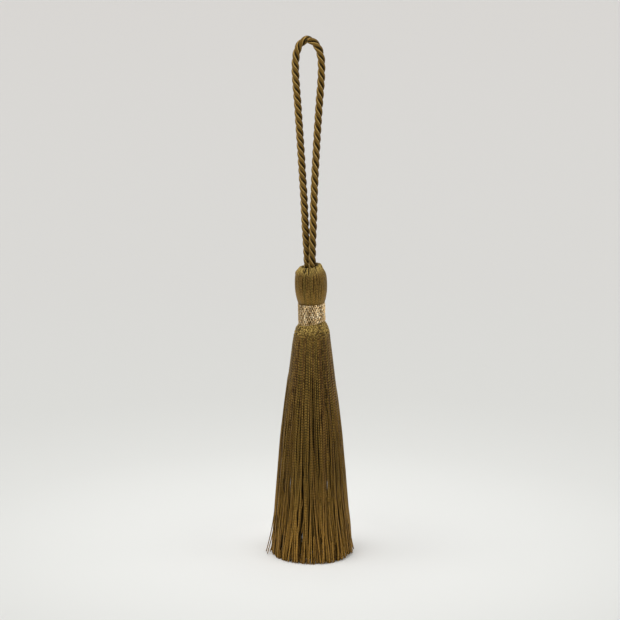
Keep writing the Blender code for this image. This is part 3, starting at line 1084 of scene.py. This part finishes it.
def yarn_silk():
    """Silky yarn of the skirt and head: each yarn its own shade, stitches and fine filaments."""
    nodes = Nodes("yarn_silk")
    tint = nodes.attribute("tint")
    hue = nodes.attribute("hue")
    opened = nodes.attribute("open")
    around, along = nodes.around_and_along()
    height = nodes.height_mm()

    # The stitches, and the filaments that follow them where the yarn is still firm
    firm = nodes.ease(height, *FIRM_FROM, 0.4, 1.0)
    chevron = nodes.math("ABSOLUTE", nodes.math("COSINE", nodes.times(around, TURN)))
    turn = nodes.minus(nodes.attribute("wound"), nodes.times(chevron, STITCH_SLOPE))
    ply = nodes.times(nodes.math("COSINE", nodes.times(turn, TURN)), firm)
    place = nodes.point(nodes.times(around, 3.0), nodes.times(turn, 1.3), nodes.times(tint, 70.0))
    twisted = nodes.noise(place, 3.0)
    place = nodes.point(nodes.times(around, 5.0), nodes.times(along, 0.15), nodes.times(tint, 50.0))
    straight = nodes.noise(place, 2.0)
    filament = nodes.plus(nodes.times(twisted, firm), nodes.times(straight, nodes.minus(1.0, firm)))

    # The head's crest, its smooth wall and the gathered shoulder under the band
    fleck = nodes.noise(nodes.place_mm(), 2.0, 1.2)
    wall = nodes.ease(height, *WALL_FROM)
    ragged = nodes.plus(along, nodes.times(fleck, 4.0))
    crest = nodes.times(wall, nodes.ease(ragged, *CREST_HIGHLIGHT_ENDS))
    smooth = nodes.times(wall, nodes.minus(1.0, crest))
    shoulder = nodes.times(nodes.ease(height, *SHOULDER_FROM), nodes.ease(height, *SHOULDER_ENDS))

    # Light and dark, from yarn to yarn, along each of them and in flecks
    uneven = nodes.without(smooth, 0.93)
    contrast = nodes.ease(height, *CONTRAST_FROM, 0.5, 2.1)
    contrast = nodes.minus(contrast, nodes.times(smooth, 0.04))
    shade = nodes.plus(nodes.swing(tint, contrast), nodes.ease(height, *LIGHT_FROM, 0.57, 0.39))
    shade = nodes.plus(shade, nodes.swing(filament, nodes.times(uneven, 1.7)))
    slow = nodes.noise(nodes.point(nodes.times(along, 0.33), nodes.times(tint, 90.0)), 2.0)
    shade = nodes.plus(shade, nodes.swing(slow, nodes.times(uneven, 2.4)))
    speck = nodes.noise(nodes.point(nodes.times(along, 0.9), nodes.times(hue, 80.0)), 1.0)
    shade = nodes.plus(shade, nodes.swing(speck, nodes.ease(height, *SPECKS_FROM, 0.0, 2.2)))
    flecked = nodes.plus(nodes.times(nodes.math("MAXIMUM", wall, shoulder), 1.6), 0.2)
    shade = nodes.plus(shade, nodes.swing(fleck, flecked))
    # Painted bounce light, lighter towards the foot of the head's smooth wall
    painted_wall_light = nodes.ease(height, *WALL_PAINTED_LIGHT_FROM, 0.06, 0.6)
    shade = nodes.clamp(nodes.plus(shade, nodes.times(smooth, painted_wall_light)))

    # Colours
    colour = nodes.mix(shade, YARN_DARK, YARN_LIGHT)
    greener = nodes.times(nodes.ease(hue, 0.35, 1.0), nodes.ease(height, *GREEN_FROM, 0.2, 0.42))
    colour = nodes.mix(greener, colour, YARN_OLIVE)
    redder = nodes.times(nodes.ease(hue, 0.4, 0.1), nodes.ease(height, *RED_FROM, 0.0, 0.45))
    colour = nodes.mix(redder, colour, YARN_RED)
    # Painted highlight: the crest and the shoulder, where the yarns bend up towards the light, are
    # painted gold
    painted_highlight = nodes.clamp(nodes.plus(nodes.times(shoulder, 0.75), crest))
    painted_highlight = nodes.times(painted_highlight, nodes.plus(nodes.times(shade, 0.95), 0.1))
    colour = nodes.mix(painted_highlight, colour, PAINTED_HIGHLIGHT_GOLD)
    # Paler cut ends, and painted bounce light from the floor, towards the skirt's foot
    tips_and_floor_light = nodes.times(nodes.ease(height, *TIPS_AND_FLOOR_LIGHT_FROM), nodes.times(shade, 0.6))
    colour = nodes.mix(tips_and_floor_light, colour, YARN_TIPS_AND_FLOOR_LIGHT)

    # Painted shade between the yarns and between the stitches
    depth = nodes.minus(nodes.ease(height, *STITCHES_FROM, 0.92, 0.58), nodes.times(wall, 0.27))
    crossing = nodes.without(nodes.ease(ply, 0.2, -0.9), depth)
    crevice_shade = nodes.clamp(nodes.plus(nodes.times(opened, 0.85), 0.15))
    nodes.paint(colour, nodes.times(crevice_shade, crossing))
    nodes.bump(nodes.plus(nodes.times(ply, 0.8), filament), YARN_BUMP)
    nodes.gloss(filament, 0.28, 0.28)
    return nodes.material


def cord_silk():
    """The cord's plies: fine yarns side by side, with a painted highlight beside each groove and
    painted shade in it.
    """
    nodes = Nodes("cord_silk")
    tint = nodes.attribute("tint")
    opened = nodes.attribute("open")
    around, along = nodes.around_and_along()
    turn = nodes.times(nodes.plus(around, nodes.attribute("wound")), PLY_YARNS)
    yarn = nodes.math("ABSOLUTE", nodes.math("SINE", nodes.times(turn, math.pi)))
    streak = nodes.point(nodes.times(turn, 2.2), nodes.times(along, 0.22), nodes.times(tint, 40.0))
    filament = nodes.noise(streak, 3.0)
    slow = nodes.noise(nodes.point(nodes.times(along, 0.25), nodes.times(tint, 30.0)), 2.0)
    shade = nodes.plus(nodes.times(filament, 0.9), nodes.swing(slow, 0.6))
    colour = nodes.mix(nodes.clamp(nodes.minus(shade, 0.05)), CORD_DARK, CORD_LIGHT)

    # The loop's two sides turn the plies opposite ways, so the place round a ply is counted anew and
    # the painted highlight and shade fall on the same side of the plies on both
    turned = nodes.without(around, 2.0)
    place = nodes.plus(around, nodes.times(nodes.attribute("upward"), turned))
    line = nodes.math("ABSOLUTE", nodes.minus(place, PAINTED_HIGHLIGHT_AT))
    bright = nodes.ease(line, 0.05, 0.02, 0.0, 0.8)
    lit = nodes.mix(bright, colour, CORD_PAINTED_HIGHLIGHT)
    # Painted shade on each ply's flank beside the groove; the cord is also darker towards its foot
    shaded = nodes.times(nodes.ease(place, 0.06, 0.17), nodes.ease(place, 0.5, 0.49))
    shaded = nodes.times(shaded, nodes.plus(nodes.times(nodes.attribute("lens"), 0.75), 0.15))
    foot = nodes.ease(nodes.height_mm(), *CORD_FOOT, 0.74, 1.0)
    flank_shade = nodes.times(nodes.minus(1.0, shaded), foot)
    # Painted shade in the grooves and across each ply's yarns
    groove = nodes.math("MAXIMUM", opened, nodes.times(bright, 0.8))
    groove = nodes.plus(nodes.times(groove, 0.94), 0.06)
    groove = nodes.times(groove, flank_shade)
    groove = nodes.times(groove, nodes.minus(1.08, nodes.times(yarn, 0.3)))
    nodes.paint(lit, groove)
    nodes.bump(nodes.minus(filament, nodes.times(yarn, 0.6)), FINE_BUMP)
    nodes.gloss(filament, 0.28, 0.28)
    return nodes.material


def metallic_thread():
    """Flat metallic thread with fine crosswise wraps, painted brighter where it crosses over another,
    with painted highlight columns and glints.
    """
    nodes = Nodes("metallic_thread_gold")
    tint = nodes.attribute("tint")
    opened = nodes.attribute("open")
    _, along = nodes.around_and_along()
    wrap = nodes.math("SINE", nodes.times(along, TURN / WRAP_LENGTH))
    noise = nodes.noise(nodes.point(nodes.times(along, 1.3), nodes.times(tint, 60.0)), 3.0)
    fleck = nodes.noise(nodes.point(nodes.times(along, 0.8), nodes.times(tint, 37.0), 5.0), 1.0)
    # Painted highlight columns round the band
    lit = nodes.plus(noise, nodes.times(nodes.attribute("streak"), 0.14))
    colour = nodes.mix(nodes.ease(lit, 0.43, 0.62), BAND_DARK, BAND_LIGHT)
    # Painted glints, small bright flecks on the threads
    colour = nodes.mix(nodes.times(nodes.ease(fleck, 0.55, 0.62), opened), colour, BAND_PAINTED_GLINT)
    # Painted shade where the thread passes under another, and on the band's left
    painted_dimming = nodes.plus(nodes.times(nodes.math("POWER", opened, 1.5), 0.93), 0.07)
    nodes.paint(colour, painted_dimming)
    nodes.shader.inputs["Metallic"].default_value = 0.6
    nodes.bump(nodes.plus(nodes.times(wrap, 0.3), nodes.times(noise, 2.0)), FINE_BUMP)
    nodes.gloss(noise, 0.2, 0.3)
    return nodes.material


def floor():
    """A wide pale floor with a painted pool of light, brightest round the tassel as a lit studio sweep
    looks.
    """
    mesh = bpy.data.meshes.new("floor")
    ring = []
    for angle in side_angles(FLOOR_SIDES):
        ring.append((FLOOR_RADIUS * math.cos(angle), FLOOR_RADIUS * math.sin(angle), 0.0))
    mesh.from_pydata(ring, [], [list(range(FLOOR_SIDES))])
    made = placed("floor", mesh)
    nodes = Nodes("floor_paper_painted_light")
    # Painted light: the floor's colour is lightest round the tassel and dims with distance from it
    place = nodes.add("ShaderNodeTexCoord")
    away = nodes.add("ShaderNodeVectorMath")
    away.operation = "DISTANCE"
    nodes.put(away.inputs[0], place.outputs["Object"])
    nodes.put(away.inputs[1], PAINTED_LIGHT_CENTRE)
    farthest = FLOOR_PAINTED_LIGHT[-1].away
    ramp = nodes.add("ShaderNodeValToRGB")
    nodes.put(ramp.inputs[0], nodes.math("DIVIDE", away.outputs["Value"], farthest))
    stops = ramp.color_ramp.elements
    while len(stops) < len(FLOOR_PAINTED_LIGHT):
        stops.new(0.5)
    for stop, shade in zip(stops, FLOOR_PAINTED_LIGHT):
        stop.position = shade.away / farthest
        stop.color = (*shade.colour, 1.0)
    ramp.color_ramp.interpolation = "B_SPLINE"
    nodes.put(nodes.shader.inputs["Base Color"], ramp.outputs[0])
    nodes.shader.inputs["Roughness"].default_value = 0.9
    nodes.shader.inputs["Specular IOR Level"].default_value = 0.0
    mesh.materials.append(nodes.material)


def lights():
    for sun in SUNS:
        data = bpy.data.lights.new(sun.name, "SUN")
        data.energy = sun.strength
        data.angle = math.radians(sun.angle)
        data.color = sun.colour
        made = placed(sun.name, data)
        made.rotation_mode = "QUATERNION"
        made.rotation_quaternion = Vector(sun.direction).to_track_quat("Z", "Y")
        made.location = sun.direction
        made.visible_diffuse = not sun.gloss_only
    world = bpy.data.worlds.new("studio")
    world.use_nodes = True
    tree = world.node_tree
    place = tree.nodes.new("ShaderNodeTexCoord")
    parts = tree.nodes.new("ShaderNodeSeparateXYZ")
    ramp = tree.nodes.new("ShaderNodeValToRGB")
    tree.links.new(place.outputs["Generated"], parts.inputs[0])
    tree.links.new(parts.outputs[2], ramp.inputs[0])
    ramp.color_ramp.elements[0].color = (*WORLD_HORIZON, 1.0)
    ramp.color_ramp.elements[1].color = (*WORLD_ZENITH, 1.0)
    tree.links.new(ramp.outputs[0], tree.nodes["Background"].inputs[0])
    bpy.context.scene.world = world
    bpy.context.scene.view_settings.view_transform = "Standard"


def dress():
    """Makes every piece, attaches it to the body it rides on and hides the solid it stands in for."""
    chance = np.random.default_rng(SEED)
    camera()
    loop = cord_loop()
    loop.data.materials.append(cord_silk())
    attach(loop, "root")
    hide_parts("hanging_loop")

    yarn = yarn_silk()
    bundle = []
    for layer in LAYERS:
        bundle.extend(skirt_layer(layer, chance))
    for made_by in (loose_yarns, filaments, stray_yarns, frayed_ends, head_yarns):
        bundle.append(made_by(chance))
    bundle += [lathe(HEAD_CORE), lathe(NECK_CORE)]
    for piece in bundle:
        piece.data.materials.append(yarn)
        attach(piece, "root")
        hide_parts("yarn_bundle")

    gold = metallic_thread()
    for piece in (band_threads(chance), lathe(BAND_GROUND)):
        piece.data.materials.append(gold)
        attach(piece, "root")
        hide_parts("neck_band")
    floor()
    lights()


dress()
